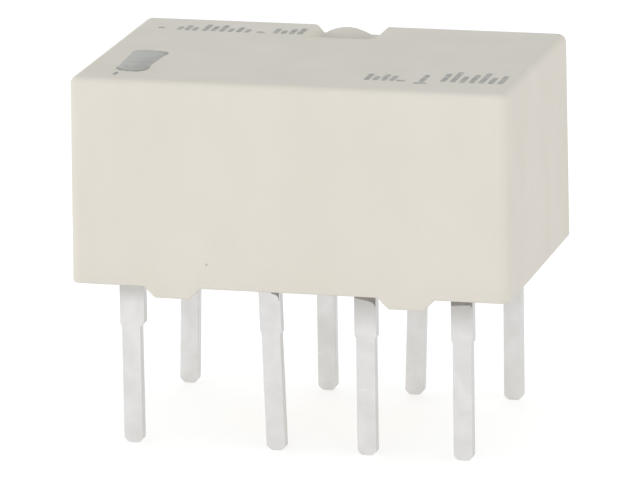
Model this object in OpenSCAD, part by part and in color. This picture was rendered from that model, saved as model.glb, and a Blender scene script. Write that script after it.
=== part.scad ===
// Sealed miniature signal relay with two changeover contacts, for through-hole boards.
// The origin is the centre of the terminal field on the board plane, under the stand-off feet.
// +X runs along the case towards the close-pitched terminals, +Y to the side with the roof pocket.

/* [Case] */
// Length of the case at its open edge
case_l = 10; // [9:0.1:12]
// Width of the case at its open edge
case_w = 6.5; // [5.8:0.1:8]
// Height of the case walls, without the feet
case_h = 4.7; // [4.3:0.1:6]
// Thickness of the case walls
wall_t = 0.4; // [0.3:0.02:0.44]
// Thickness of the roof
roof_t = 0.35; // [0.25:0.05:0.4]
// Draft of the outer walls, in degrees
draft = 0.5; // [0:0.1:1.5]
// Radius of the upright corners
corner_r = 0.22; // [0.22:0.02:0.5]
// Radius of the edge round the roof
edge_r = 0.18; // [0.04:0.02:0.2]
// Radius of the upright corners inside
cavity_r = 0.15; // [0.1:0.05:0.3]

/* [Stand-off feet] */
// Height of the feet, which is the gap between case and board
foot_h = 0.25; // [0.2:0.05:0.4]
// Length of a foot at the wall
foot_l = 1.3; // [1:0.05:1.8]
// Distance of the feet from the middle of the case
foot_x = 2.67; // [2:0.02:3.2]
// Radius of the lower corners of a foot
foot_r = 0.1; // [0.04:0.02:0.18]

/* [Roof pocket] */
// Length of the pocket in the rear edge of the roof
pocket_l = 1.68; // [1.4:0.02:2.4]
// Place of the pocket's middle along the case
pocket_x = -0.05; // [-0.2:0.05:0.2]
// How far the pocket's ends slope outwards
pocket_flare = 0.16; // [0.1:0.02:0.3]
// Reach of the pocket from the rear wall
pocket_reach = 1.5; // [1:0.1:2]
// Depth of the pocket
pocket_depth = 0.21; // [0.1:0.01:0.22]
// Radius of the moulded nub in the pocket
nub_r = 0.55; // [0.3:0.05:0.65]
// Height of the nub above the pocket floor
nub_h = 0.18; // [0.08:0.01:0.19]
// Distance of the nub from the rear wall
nub_inset = 0.3; // [0.2:0.05:0.8]
// Place of the nub along the case
nub_x = -0.15; // [-0.2:0.05:0.2]

/* [Terminals] */
// Distance from a row of terminals to the outside of the long wall
row_cover = 0.71; // [0.66:0.01:0.9]
// Pitch from the coil terminal to the break terminal
coil_pitch = 3.2; // [3:0.05:3.3]
// Pitch from break to common terminal, and from common to make terminal
contact_pitch = 2.2; // [2.1:0.02:2.3]
// Length of a terminal below the board plane
pin_l = 3.55; // [2.5:0.05:4]
// Width of a terminal blade
blade_w = 0.44; // [0.3:0.02:0.46]
// Thickness of the terminal strip
blade_t = 0.25; // [0.2:0.01:0.28]
// Width of the shoulder under the case
shoulder_w = 0.5; // [0.42:0.02:0.6]
// How much further the coil terminal's shoulder reaches towards the other terminals
coil_ear = 0.06; // [0:0.01:0.1]
// Length of the shoulder below the case wall
shoulder_l = 1.1; // [0.5:0.05:1.2]
// Cut at the corners of a blade tip
tip_cut = 0.1; // [0.04:0.01:0.16]
// Height of the terminal rails inside the base
rail_h = 0.4; // [0.3:0.02:0.6]
// Width of the tabs that carry the fixed contacts
tab_w = 0.5; // [0.4:0.02:0.6]
// Outer radius of the bend at a tab
bend_r = 0.3; // [0.28:0.01:0.4]

/* [Bent terminals] */
// Lean of the front break terminal below the resin, in degrees
break_lean = 1.6; // [-3:0.1:3]
// Lean of the rear coil terminal
coil_lean = -1.6; // [-3:0.1:3]
// Lean of the rear common terminal
common_lean = -2; // [-3:0.1:3]

/* [Base] */
// Depth of the resin below the edge of the case
resin_recess = 0.05; // [0.02:0.01:0.1]
// Thickness of the resin
resin_t = 0.25; // [0.2:0.05:0.35]
// Thickness of the base floor
floor_t = 0.25; // [0.2:0.05:0.35]
// Moulding left between a terminal and the inside of the base
side_cover = 0.25; // [0.15:0.05:0.3]
// Height of the side walls above the floor
side_h = 1.6; // [1.2:0.1:1.8]
// Height of the end walls above the floor
end_h = 1.2; // [0.8:0.1:1.6]
// Thickness of the end walls
end_t = 0.4; // [0.3:0.05:0.45]
// Length of the pillars under the fixed contacts
pillar_l = 0.7; // [0.6:0.05:0.7]

/* [Magnet system] */
// Width of the iron bar through the coil
core_w = 0.8; // [0.6:0.05:0.9]
// Thickness of the iron bar
core_t = 0.6; // [0.4:0.05:0.7]
// Length of each upturned pole
pole_t = 0.5; // [0.4:0.05:0.6]
// Width of each upturned pole
pole_w = 1.6; // [1.2:0.05:1.7]
// Distance of the poles from the last terminals
pole_inset = 0.2; // [0.15:0.05:0.4]
// Length of the magnet
magnet_l = 0.9; // [0.6:0.05:1]
// Width of the magnet
magnet_w = 1.6; // [1.2:0.05:1.7]
// Height of the magnet above the bobbin
magnet_rise = 0.4; // [0.3:0.05:0.5]
// Wall of the bobbin tube
tube_wall = 0.12; // [0.08:0.01:0.16]
// Thickness of the winding on the tube
winding_t = 0.4; // [0.3:0.02:0.44]
// Thickness of the bobbin flanges
flange_t = 0.2; // [0.15:0.01:0.25]
// Height of the flange rims above the winding
flange_lip = 0.1; // [0.05:0.01:0.2]
// Diameter of the coil leads
lead_d = 0.1; // [0.06:0.01:0.12]

/* [Armature] */
// Rocking angle of the armature to each side, in degrees
rock = 2.5; // [1.5:0.1:3]
// Width of the armature plate
plate_w = 1.8; // [1.5:0.05:1.9]
// Thickness of the armature plate
plate_t = 0.3; // [0.2:0.05:0.4]
// Radius of the pivot rib under the plate
rib_r = 0.12; // [0.08:0.01:0.16]
// Length of the moulded carrier over the plate
carrier_l = 2; // [1.4:0.1:2.6]
// Length of the carrier arms round the springs
arm_l = 1.2; // [0.9:0.05:1.6]
// Moulding above the plate
carrier_cap = 0.15; // [0.1:0.05:0.25]
// Moulding beside the plate
carrier_side = 0.3; // [0.2:0.05:0.35]
// Moulding below the plate
carrier_under = 0.2; // [0.16:0.01:0.25]

/* [Contacts] */
// Distance of the contacts from the ends of the armature plate
contact_inset = 0.5; // [0.4:0.02:0.6]
// Width of a moving spring
spring_w = 0.8; // [0.6:0.05:0.85]
// Thickness of a moving spring
spring_t = 0.08; // [0.05:0.01:0.1]
// Length of the split at the ends of a spring
split_l = 0.9; // [0.5:0.05:1.2]
// Width of the split
split_w = 0.15; // [0.1:0.01:0.2]
// Spring beyond the contacts
spring_over = 0.25; // [0.2:0.01:0.35]
// Width of the hinge arm on the pivot line
hinge_w = 0.3; // [0.2:0.02:0.36]
// Height of the fixed contacts
pad_h = 0.12; // [0.08:0.01:0.16]
// Width of the fixed contacts
pad_w = 0.4; // [0.3:0.02:0.4]
// Radius of the moving contact bars
bar_r = 0.14; // [0.1:0.01:0.16]
// Length of a moving contact bar
bar_l = 0.26; // [0.2:0.01:0.26]

/* [Clearances] */
// Gap round pieces that are fitted into another
fit_gap = 0.02; // [0.01:0.01:0.04]
// Gap round strips that are moulded in
mould_gap = 0.01; // [0.01:0.01:0.02]
// Gap between a moving piece and its stop
touch_gap = 0.02; // [0.02:0.01:0.05]
// Gap between the pivot rib and the magnet
run_gap = 0.02; // [0.02:0.01:0.04]
// Room between pieces that only pass each other
pass_gap = 0.1; // [0.08:0.01:0.12]

/* [Hidden] */
$fn = 48;
eps = 0.01;

front = -1;
rear = 1;
break_side = -1;
make_side = 1;

// Terminal places along the case, from the coil end, centred on the origin
coil_pin = -(coil_pitch + 2 * contact_pitch) / 2;
break_pin = coil_pin + coil_pitch;
common_pin = break_pin + contact_pitch;
make_pin = common_pin + contact_pitch;

// Inside of the case, and the terminal strips along its long walls
row_pitch = case_w - 2 * row_cover;
cavity_x = case_l / 2 - wall_t;
cavity_y = case_w / 2 - wall_t;
base_x = cavity_x - fit_gap;
base_y = cavity_y - fit_gap;
strip_out = row_pitch / 2 + blade_t / 2;
strip_in = row_pitch / 2 - blade_t / 2;
side_in = strip_in - side_cover;

// Levels, from the board upwards: case, base, coil, magnet and armature
case_top = foot_h + case_h;
roof_z = case_top - roof_t;
resin_z = foot_h + resin_recess;
base_z = resin_z + resin_t;
floor_z = base_z + floor_t;
side_z = floor_z + side_h;
end_z = floor_z + end_h;
tube_r = norm([core_w / 2, core_t / 2]) + tube_wall;
winding_r = tube_r + winding_t + mould_gap;
flange_r = winding_r + flange_lip;
flange_z = floor_z + fit_gap;
coil_z = flange_z + flange_r;
core_top = coil_z + core_t / 2;
flange_top = coil_z + flange_r;
magnet_top = flange_top + magnet_rise;
pivot_z = magnet_top + run_gap + rib_r;

// Places along the coil
pole_x = make_pin - pole_inset;
plate_x = pole_x;
flange_x = pole_x - pole_t - fit_gap;
saddle_x = magnet_l / 2 + fit_gap + flange_t;
pillar_in = flange_r + fit_gap;

// Contacts: a bar sinks onto its pad when the armature has rocked all the way
contact_x = plate_x - contact_inset;
spring_out = strip_in - pass_gap;
spring_in = spring_out - spring_w;
spring_y = (spring_in + spring_out) / 2;
pole_top = pivot_z - plate_x * sin(rock) - touch_gap;
pad_top = pivot_z - contact_x * sin(rock) - spring_t / 2 - bar_r - touch_gap;
tab_top = pad_top - pad_h;
tab_z = tab_top - blade_t;
hinge_top = pivot_z - spring_t / 2 - blade_w / 2 * sin(rock) - touch_gap;

// Coil leads: out of the winding, past the pole, up to the coil terminals
lead_y = (pole_w / 2 + pillar_in) / 2;
lead_z = core_top;
lead_bead = 1.2;
lead_tab_z = side_z + 2 * pass_gap + lead_d;
coil_tab_z = lead_tab_z + 2 * pass_gap;

tin = [0.86, 0.86, 0.84];
silver = [0.9, 0.89, 0.85];
moulding = [0.22, 0.23, 0.25];

module rounded_plan(half_x, half_y, r) {
    square([2 * half_x, 2 * (half_y - r)], center = true);
    square([2 * (half_x - r), 2 * half_y], center = true);
    for (x = [-1, 1], y = [-1, 1])
        translate([x * (half_x - r), y * (half_y - r)]) circle(r);
}

module plan_block(half_x, half_y, r, z0, z1) {
    translate([0, 0, z0]) linear_extrude(z1 - z0) rounded_plan(half_x, half_y, r);
}

module box(x0, x1, y0, y1, z0, z1) {
    translate([x0, y0, z0]) cube([x1 - x0, y1 - y0, z1 - z0]);
}

// A box that lies on one side of the case, given by its distances from the middle plane
module side_box(side, x0, x1, y0, y1, z0, z1) {
    if (side == rear) box(x0, x1, y0, y1, z0, z1);
    else box(x0, x1, -y1, -y0, z0, z1);
}

// A drawing in X and Z, extruded in Y between two distances from the middle plane
module side_extrude(side, y0, y1) {
    translate([0, side == rear ? y1 : -y0, 0]) rotate([90, 0, 0]) linear_extrude(y1 - y0) children();
}

// The case shell

module corner_disc(r, edge) {
    rotate_extrude($fn = 32) {
        square([r - edge, edge]);
        intersection() {
            translate([r - edge, 0]) circle(edge, $fn = 32);
            square([r, edge]);
        }
    }
}

module case_outside() {
    inset = (case_h - edge_r) * tan(draft);
    hull() for (x = [-1, 1], y = [-1, 1]) {
        translate([x * (case_l / 2 - corner_r), y * (case_w / 2 - corner_r), foot_h])
            cylinder(r = corner_r, h = eps, $fn = 32);
        translate([x * (case_l / 2 - inset - corner_r), y * (case_w / 2 - inset - corner_r), case_top - edge_r])
            corner_disc(corner_r, edge_r);
    }
}

module foot(x, side) {
    tip = foot_l / 2 - foot_h;
    side_extrude(side, case_w / 2 - wall_t, case_w / 2) translate([x, 0]) hull() {
        translate([-foot_l / 2, foot_h]) square([foot_l, eps]);
        for (end = [-1, 1]) translate([end * (tip - foot_r * tan(22.5)), foot_r]) circle(foot_r, $fn = 32);
    }
}

module roof_pocket() {
    pocket_z = case_top - pocket_depth;
    ball_r = (nub_r * nub_r + nub_h * nub_h) / (2 * nub_h);
    difference() {
        side_extrude(rear, case_w / 2 - pocket_reach, case_w) polygon([
            [pocket_x - pocket_l / 2 + pocket_flare, pocket_z], [pocket_x + pocket_l / 2 - pocket_flare, pocket_z],
            [pocket_x + pocket_l / 2, case_top], [pocket_x + pocket_l / 2, case_top + eps],
            [pocket_x - pocket_l / 2, case_top + eps], [pocket_x - pocket_l / 2, case_top]]);
        translate([nub_x, case_w / 2 - nub_inset, pocket_z + nub_h - ball_r]) sphere(ball_r);
    }
}

module case_cover() {
    color([0.9, 0.88, 0.82]) {
        difference() {
            case_outside();
            plan_block(cavity_x, cavity_y, cavity_r, foot_h - eps, roof_z);
            roof_pocket();
        }
        for (x = [-foot_x, foot_x], side = [front, rear]) foot(x, side);
    }
}

// Terminals: one stamped strip each, drawn in X and Z. A bent one leans from the underside of the resin.

// Half-widths and levels of one edge of a blade, from the tip to the base
function blade_edge(w, s) = let (shoulder_z = foot_h - shoulder_l) [
    [w - tip_cut, -pin_l], [w, tip_cut - pin_l], [w, shoulder_z], [s, shoulder_z + s - w],
    [s, resin_z], [s, base_z]];

module blade_outline(x, g, lean, ear) {
    right = blade_edge(blade_w / 2 + g, shoulder_w / 2 + ear + g);
    other = blade_edge(blade_w / 2 + g, shoulder_w / 2 + g);
    left = [for (i = [len(other) - 1:-1:0]) [-other[i][0], other[i][1]]];
    translate([x, 0])
        polygon([for (p = concat(right, left)) [p[0] + max(0, resin_z - p[1]) * tan(lean), p[1]]]);
}

module terminal_outline(pin_x, head_x, head_w, head_z, g = 0, lean = 0, ear = 0) {
    rail_from = min(pin_x - blade_w / 2, head_x - head_w / 2);
    rail_to = max(pin_x + blade_w / 2, head_x + head_w / 2);
    blade_outline(pin_x, g, lean, ear);
    translate([pin_x - blade_w / 2 - g, resin_z]) square([blade_w + 2 * g, resin_t + floor_t + rail_h + g]);
    translate([rail_from - g, floor_z - g]) square([rail_to - rail_from + 2 * g, rail_h + 2 * g]);
    translate([head_x - head_w / 2 - g, floor_z]) square([head_w + 2 * g, head_z - floor_z]);
}

module coil_outline(g = 0, lean = 0) {
    terminal_outline(coil_pin, coil_pin, blade_w, coil_tab_z, g, lean, coil_ear);
}

module common_outline(g = 0, lean = 0) {
    terminal_outline(common_pin, 0, blade_w, hinge_top, g, lean);
}

module contact_outline(end, head_z, g = 0, lean = 0) {
    terminal_outline(end == break_side ? break_pin : make_pin, end * contact_x, tab_w, head_z, g, lean);
}

module strip(side, g = 0) {
    side_extrude(side, strip_in - g, strip_out + g) children();
}

// The bend and the tab under a fixed contact, drawn in Y and Z with the bend's corner at the origin
module tab_section() {
    reach = strip_out - spring_in;
    translate([-blade_t, -bend_r - eps]) square([blade_t, eps]);
    translate([-reach, -blade_t]) square([reach - bend_r, blade_t]);
    intersection() {
        translate([-bend_r, -bend_r]) difference() {
            circle(bend_r);
            circle(bend_r - blade_t);
        }
        translate([-bend_r, -bend_r]) square(bend_r);
    }
}

module contact_terminal(side, end, lean = 0) {
    strip(side) contact_outline(end, tab_top - bend_r, lean = lean);
    mirror([0, side == rear ? 0 : 1, 0])
        translate([end * contact_x - tab_w / 2, strip_out, tab_top])
            rotate([90, 0, 90]) linear_extrude(tab_w) tab_section();
}

module break_terminal_front() { color(tin) contact_terminal(front, break_side, break_lean); }
module break_terminal_rear() { color(tin) contact_terminal(rear, break_side); }
module make_terminal_front() { color(tin) contact_terminal(front, make_side); }
module make_terminal_rear() { color(tin) contact_terminal(rear, make_side); }
module common_terminal_front() { color(tin) strip(front) common_outline(); }
module common_terminal_rear() { color(tin) strip(rear) common_outline(lean = common_lean); }
module coil_terminal_front() { color(tin) strip(front) coil_outline(); }
module coil_terminal_rear() { color(tin) strip(rear) coil_outline(lean = coil_lean); }

// Everything that the terminals take out of the base and the resin
module terminal_slots() {
    for (side = [front, rear]) strip(side, mould_gap) {
        coil_outline(mould_gap);
        common_outline(mould_gap);
        for (end = [break_side, make_side]) contact_outline(end, tab_z, mould_gap);
    }
}

// Fixed contacts

module contact_pad(side, end) {
    color(silver) translate([end * contact_x, side * spring_y, tab_top]) linear_extrude(pad_h) {
        square([pad_w, spring_w - pad_w], center = true);
        for (y = [-1, 1]) translate([0, y * (spring_w - pad_w) / 2]) circle(pad_w / 2);
    }
}

module break_contact_front() { contact_pad(front, break_side); }
module break_contact_rear() { contact_pad(rear, break_side); }
module make_contact_front() { contact_pad(front, make_side); }
module make_contact_rear() { contact_pad(rear, make_side); }

// Base and resin

module contact_pillar(side, end) {
    x = end * contact_x;
    side_box(side, x - pillar_l / 2, x + pillar_l / 2, pillar_in, side_in + eps, floor_z - eps, tab_z);
}

module base_block() {
    color(moulding) difference() {
        union() {
            plan_block(base_x, base_y, cavity_r, base_z, floor_z);
            difference() {
                plan_block(base_x, base_y, cavity_r, base_z, side_z);
                box(-base_x + end_t, base_x - end_t, -side_in, side_in, floor_z, side_z + eps);
                box(-base_x - eps, base_x + eps, -side_in, side_in, end_z, side_z + eps);
            }
            for (side = [front, rear], end = [break_side, make_side]) contact_pillar(side, end);
        }
        terminal_slots();
    }
}

module seal_resin() {
    color([0.81, 0.78, 0.71]) difference() {
        plan_block(cavity_x - mould_gap, cavity_y - mould_gap, cavity_r, resin_z, base_z);
        terminal_slots();
    }
}

// Coil and magnet

module bobbin_flange(x0, x1) {
    box(x0, x1, -flange_r, flange_r, flange_z, flange_top);
}

module coil_bobbin() {
    color([0.3, 0.32, 0.36]) difference() {
        union() {
            translate([-flange_x, 0, coil_z]) rotate([0, 90, 0]) cylinder(r = tube_r, h = 2 * flange_x);
            for (end = [-1, 1]) bobbin_flange(min(end * flange_x, end * (flange_x - flange_t)),
                max(end * flange_x, end * (flange_x - flange_t)));
            bobbin_flange(-saddle_x, saddle_x);
        }
        box(-flange_x - eps, flange_x + eps, -core_w / 2 - mould_gap, core_w / 2 + mould_gap,
            coil_z - core_t / 2 - mould_gap, core_top + mould_gap);
        box(-magnet_l / 2 - fit_gap, magnet_l / 2 + fit_gap, -magnet_w / 2 - fit_gap, magnet_w / 2 + fit_gap,
            core_top, flange_top + eps);
        for (side = [front, rear]) {
            side_box(side, -flange_x - eps, -flange_x + flange_t + eps, lead_y - lead_d, lead_y + lead_d,
                lead_z - lead_d, flange_top + eps);
            side_box(side, -saddle_x - eps, saddle_x + eps, magnet_w / 2 + pass_gap, flange_r + eps,
                coil_z - lead_d, coil_z + lead_d);
        }
    }
}

module iron_core() {
    color([0.62, 0.63, 0.66]) {
        box(-pole_x, pole_x, -core_w / 2, core_w / 2, coil_z - core_t / 2, core_top);
        for (end = [-1, 1]) box(end > 0 ? pole_x - pole_t : -pole_x, end > 0 ? pole_x : pole_t - pole_x,
            -pole_w / 2, pole_w / 2, coil_z - core_t / 2, pole_top);
    }
}

module permanent_magnet() {
    color([0.35, 0.35, 0.38])
        box(-magnet_l / 2, magnet_l / 2, -magnet_w / 2, magnet_w / 2, core_top + mould_gap, magnet_top);
}

// A stretch of round wire between two points, with a slightly thicker bead at its end
module wire(from, to) {
    way = to - from;
    translate(from) rotate([0, acos(way[2] / norm(way)), atan2(way[1], way[0])])
        cylinder(d = lead_d, h = norm(way), $fn = 24);
    translate(to) sphere(d = lead_bead * lead_d, $fn = 24);
}

module winding_chamber(end) {
    x0 = saddle_x + mould_gap;
    x1 = flange_x - flange_t - mould_gap;
    translate([end > 0 ? x0 : -x1, 0, coil_z]) rotate([0, 90, 0]) difference() {
        cylinder(r = winding_r, h = x1 - x0);
        translate([0, 0, -eps]) cylinder(r = tube_r + mould_gap, h = x1 - x0 + 2 * eps);
    }
}

module coil_winding() {
    inside_x = -flange_x + flange_t + 3 * lead_d;
    crossing_y = (magnet_w / 2 + pass_gap + flange_r) / 2;
    color([0.72, 0.42, 0.2]) {
        for (end = [-1, 1]) winding_chamber(end);
        for (side = [front, rear]) {
            a = [inside_x, side * (lead_y - lead_d), lead_z];
            b = [-flange_x + flange_t / 2, side * lead_y, lead_z];
            c = [-pole_x - lead_d, side * lead_y, lead_z + lead_d];
            d = [coil_pin, side * (strip_in - lead_bead * lead_d / 2 - mould_gap), lead_tab_z];
            wire(a, b);
            wire(b, c);
            wire(c, d);
        }
        wire([-saddle_x - 2 * lead_d, -crossing_y, coil_z], [saddle_x + 2 * lead_d, -crossing_y, coil_z]);
    }
}

// Armature: drawn level, then rocked onto the break contacts

module at_rest() {
    translate([0, 0, pivot_z]) rotate([0, -rock, 0]) translate([0, 0, -pivot_z]) children();
}

module plate_shape(g) {
    box(-plate_x - g, plate_x + g, -plate_w / 2 - g, plate_w / 2 + g, pivot_z - g, pivot_z + plate_t + g);
}

module spring_outline(side, g) {
    tip = contact_x + spring_over;
    y0 = side * spring_y - spring_w / 2;
    difference() {
        translate([-tip - g, y0 - g]) square([2 * (tip + g), spring_w + 2 * g]);
        for (end = [-1, 1]) translate([end * tip, side * spring_y]) {
            square([2 * split_l, split_w], center = true);
            translate([-end * split_l, 0]) circle(d = split_w);
        }
    }
    translate([-hinge_w / 2 - g, side == rear ? spring_y : -strip_out])
        square([hinge_w + 2 * g, strip_out - spring_y]);
    translate([-blade_w / 2 - g, side == rear ? strip_in : -strip_out]) square([blade_w + 2 * g, blade_t]);
}

module spring_shape(side, g) {
    translate([0, 0, pivot_z - spring_t / 2 - g]) linear_extrude(spring_t + 2 * g) spring_outline(side, g);
}

module armature_plate() {
    color([0.66, 0.67, 0.7]) at_rest() {
        plate_shape(0);
        translate([0, magnet_w / 2, pivot_z]) rotate([90, 0, 0]) cylinder(r = rib_r, h = magnet_w);
    }
}

module armature_carrier() {
    block_y = plate_w / 2 + carrier_side;
    block_z = pivot_z - carrier_under;
    window_x = magnet_l / 2 + pass_gap;
    window_y = magnet_w / 2 + pass_gap;
    color([0.85, 0.84, 0.8]) at_rest() difference() {
        union() {
            box(-carrier_l / 2, carrier_l / 2, -block_y, block_y, block_z, pivot_z + plate_t + carrier_cap);
            box(-arm_l / 2, arm_l / 2, -spring_out - fit_gap, spring_out + fit_gap,
                block_z, pivot_z + carrier_under);
        }
        plate_shape(mould_gap);
        box(-window_x, window_x, -window_y, window_y, block_z - eps, pivot_z + eps);
        for (side = [front, rear]) spring_shape(side, mould_gap);
    }
}

module moving_spring(side) {
    color([0.8, 0.6, 0.36]) at_rest() spring_shape(side, 0);
}

module moving_spring_front() { moving_spring(front); }
module moving_spring_rear() { moving_spring(rear); }

module moving_contact(side, end) {
    leg_y = (spring_w + split_w) / 4;
    color(silver) at_rest() for (leg = [-1, 1])
        translate([end * contact_x, side * spring_y + leg * leg_y, pivot_z - spring_t / 2]) difference() {
            rotate([90, 0, 0]) cylinder(r = bar_r, h = bar_l, center = true);
            translate([-bar_r - eps, -bar_l, 0]) cube([2 * (bar_r + eps), 2 * bar_l, 2 * bar_r]);
        }
}

module break_moving_contact_front() { moving_contact(front, break_side); }
module break_moving_contact_rear() { moving_contact(rear, break_side); }
module make_moving_contact_front() { moving_contact(front, make_side); }
module make_moving_contact_rear() { moving_contact(rear, make_side); }

case_cover();
base_block();
seal_resin();
coil_terminal_front();
coil_terminal_rear();
break_terminal_front();
break_terminal_rear();
common_terminal_front();
common_terminal_rear();
make_terminal_front();
make_terminal_rear();
break_contact_front();
break_contact_rear();
make_contact_front();
make_contact_rear();
coil_bobbin();
coil_winding();
iron_core();
permanent_magnet();
armature_plate();
armature_carrier();
moving_spring_front();
moving_spring_rear();
break_moving_contact_front();
break_moving_contact_rear();
make_moving_contact_front();
make_moving_contact_rear();
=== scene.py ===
"""The look of a sealed miniature relay: moulded case, print, tinned terminals, resin and mechanism.

All sizes in the classes are in millimetres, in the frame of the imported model: the origin is the centre of the
terminal field on the board plane, +X runs towards the close-pitched terminals and +Z is up.
"""

import logging
import math
from dataclasses import dataclass, replace
from enum import Enum
from typing import Callable, Iterable, Sequence

import bmesh
import bpy
from mathutils import Matrix, Vector


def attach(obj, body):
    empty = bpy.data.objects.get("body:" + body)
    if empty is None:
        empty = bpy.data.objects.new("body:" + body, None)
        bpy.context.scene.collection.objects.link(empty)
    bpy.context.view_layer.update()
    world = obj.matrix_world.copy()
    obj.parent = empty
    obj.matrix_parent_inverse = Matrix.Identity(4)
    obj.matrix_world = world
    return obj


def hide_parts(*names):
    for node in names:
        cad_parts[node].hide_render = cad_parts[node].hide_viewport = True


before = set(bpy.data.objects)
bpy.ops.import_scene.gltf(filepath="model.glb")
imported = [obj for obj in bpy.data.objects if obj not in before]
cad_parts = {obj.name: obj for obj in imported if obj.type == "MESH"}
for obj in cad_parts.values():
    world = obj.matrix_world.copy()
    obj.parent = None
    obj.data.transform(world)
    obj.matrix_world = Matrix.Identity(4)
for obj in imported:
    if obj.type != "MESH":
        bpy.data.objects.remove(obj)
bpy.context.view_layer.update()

LOG = logging.getLogger("relay")
MM = 0.001
HOUSING = "housing"
FULL = (0.0, 1.0)
CORNERS = ((-1, -1), (1, -1), (1, 1), (-1, 1))

Color = tuple[float, float, float]
Point2 = tuple[float, float]
Point3 = tuple[float, float, float]
Socket = bpy.types.NodeSocket
Value = Socket | float | Sequence[float]
Vertex = bmesh.types.BMVert


def srgb(red: float, green: float, blue: float) -> Color:
    """Turn a colour of a display, 0 to 255, into the linear values that shaders take.

    Args:
        red: Red channel.
        green: Green channel.
        blue: Blue channel.

    Returns:
        The linear colour.
    """
    def linear(value: float) -> float:
        """Linear value of one channel, by the standard curve of displays."""
        part = value / 255
        return part / 12.92 if part <= 0.04045 else ((part + 0.055) / 1.055) ** 2.4
    return linear(red), linear(green), linear(blue)


def span(first: float, last: float, steps: int) -> list[float]:
    """Evenly spaced numbers from first to last, both included."""
    return [first + (last - first) * i / steps for i in range(steps + 1)]


def quarter_turn(steps: int) -> list[float]:
    """Angles from 0 to 90 degrees, both included, in radians."""
    return [math.radians(angle) for angle in span(0, 90, steps)]


def full_turn(sides: int) -> list[float]:
    """Angles once round a circle, in radians."""
    return [2 * math.pi * k / sides for k in range(sides)]


def towards(azimuth: float, elevation: float) -> Vector:
    """Direction in which a lamp or the camera stands.

    Args:
        azimuth: Degrees to the right of the relay's front.
        elevation: Degrees above the horizon.

    Returns:
        The direction, of length 1.
    """
    a = math.radians(azimuth)
    e = math.radians(elevation)
    return Vector((math.sin(a) * math.cos(e), -math.cos(a) * math.cos(e), math.sin(e)))


def show(thing: bpy.types.Object) -> None:
    """Put an object into the scene."""
    bpy.context.scene.collection.objects.link(thing)


def make(tree: bpy.types.NodeTree, kind: str, inputs: dict[str | int, Value],
         **settings: str) -> bpy.types.Node:
    """Make a shader node.

    Args:
        tree: Node tree that gets it.
        kind: Its type.
        inputs: Plain values, or sockets to link, by name or number of the input.
        settings: Settings that it needs before its inputs.

    Returns:
        The node.
    """
    node = tree.nodes.new("ShaderNode" + kind)
    for name, setting in settings.items():
        setattr(node, name, setting)
    for key, value in inputs.items():
        if isinstance(value, Socket):
            tree.links.new(value, node.inputs[key])
        else:
            node.inputs[key].default_value = value
    return node


@dataclass(frozen=True)
class Plan:
    """Sizes that more than one sub-assembly works from."""

    half_x: float = 5.0
    half_y: float = 3.25
    top: float = 4.95
    wall: float = 0.4
    row: float = 2.54
    strip: float = 0.25


PLAN = Plan()


@dataclass(frozen=True)
class Clouds:
    """A cloudy pattern: size of a cloud in millimetres, number of finer layers, shift, twist and stretch."""

    grain: float
    detail: float = 2.0
    shift: float = 0.0
    twist: float = 0.0
    stretch: Point3 = (1.0, 1.0, 1.0)


@dataclass(frozen=True)
class Dots:
    """Scattered dots: their distance apart in millimetres, shift, outer and inner radius, and strength.

    The radii are shares of the distance apart. A dot fades in from the outer to the inner one.
    """

    apart: float
    shift: float
    outer: float
    inner: float
    strength: float = 1.0


@dataclass(frozen=True)
class Fleck:
    """One fleck: its place, outer and inner radius in millimetres, and strength."""

    place: Point3
    outer: float = 0.035
    inner: float = 0.0175
    strength: float = 0.8


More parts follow.
